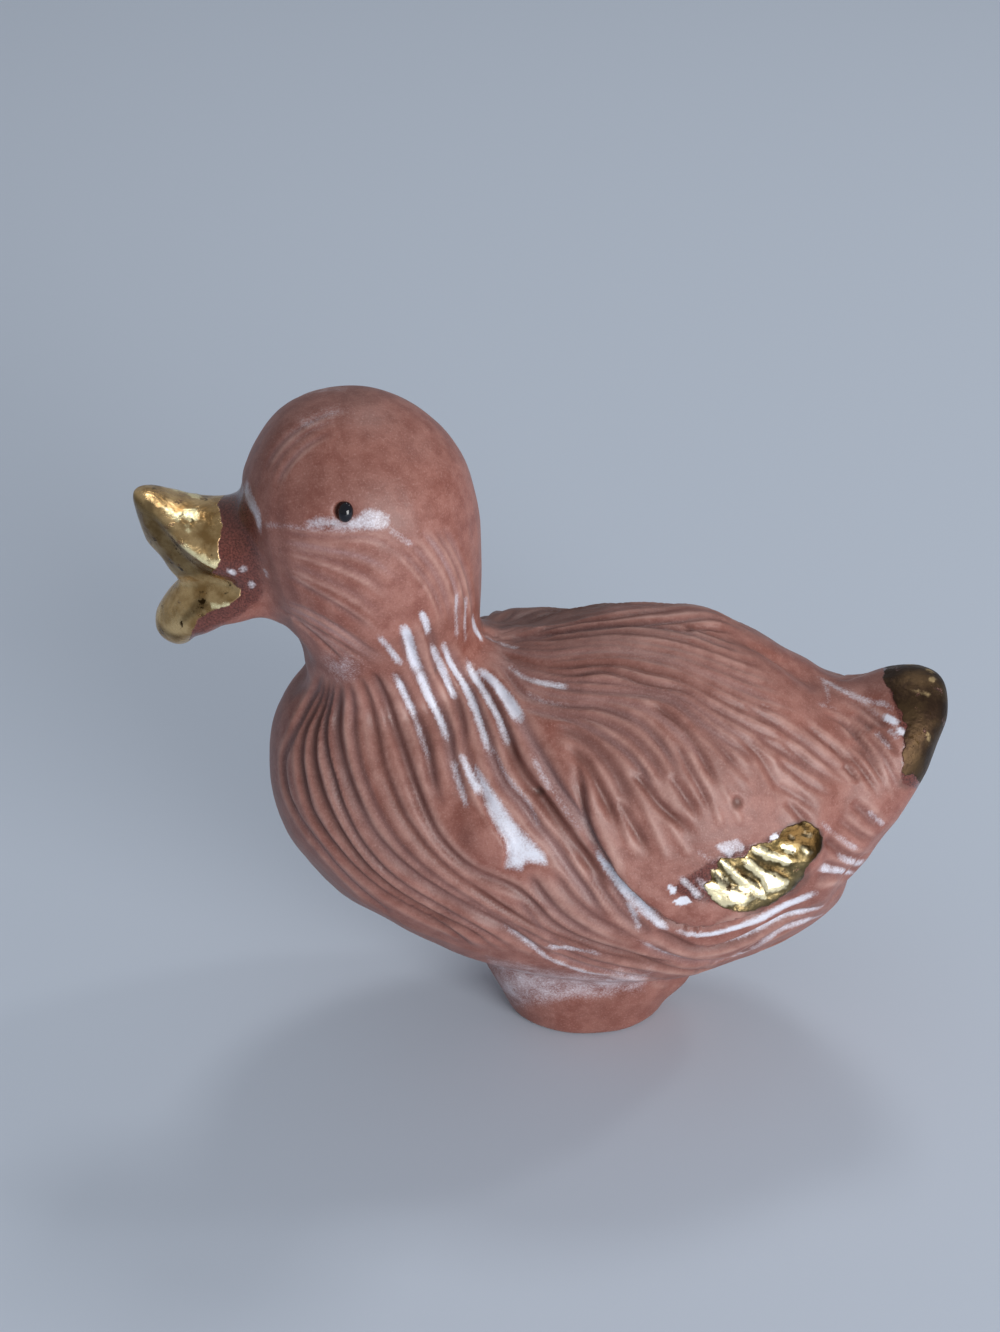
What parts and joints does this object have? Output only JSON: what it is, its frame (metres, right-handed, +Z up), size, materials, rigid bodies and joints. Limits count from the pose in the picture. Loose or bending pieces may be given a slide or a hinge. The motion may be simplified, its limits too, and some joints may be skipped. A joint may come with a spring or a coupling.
{
  "type": "terracotta duck figurine",
  "caption": "Small glazed terracotta duck ornament with an open gilded bill, folded wings with combed gilded tips, a cocked tail and an oval pad foot.",
  "frame": {"origin": "middle of the foot's flat underside, on the surface that the duck stands on", "axes": "+Z up; the duck looks along -X, its tail points to +X and its left side faces -Y; the XZ plane is its plane of symmetry"},
  "size_m": [0.0593, 0.0274, 0.0536],
  "materials": {
    "torso_clay": "satin",
    "head_clay": "satin",
    "tail_clay": "gloss",
    "foot_clay": "satin",
    "wing_clay": "satin",
    "bill_lustre": "gloss",
    "eye_enamel": "gloss"
  },
  "bodies": {
    "root": {"torso": "torso_clay", "head": "head_clay", "tail": "tail_clay", "foot": "foot_clay", "left_wing": "wing_clay", "right_wing": "wing_clay", "upper_bill": "bill_lustre", "lower_bill": "bill_lustre", "left_eye": "eye_enamel", "right_eye": "eye_enamel"}
  },
  "joints": []
}
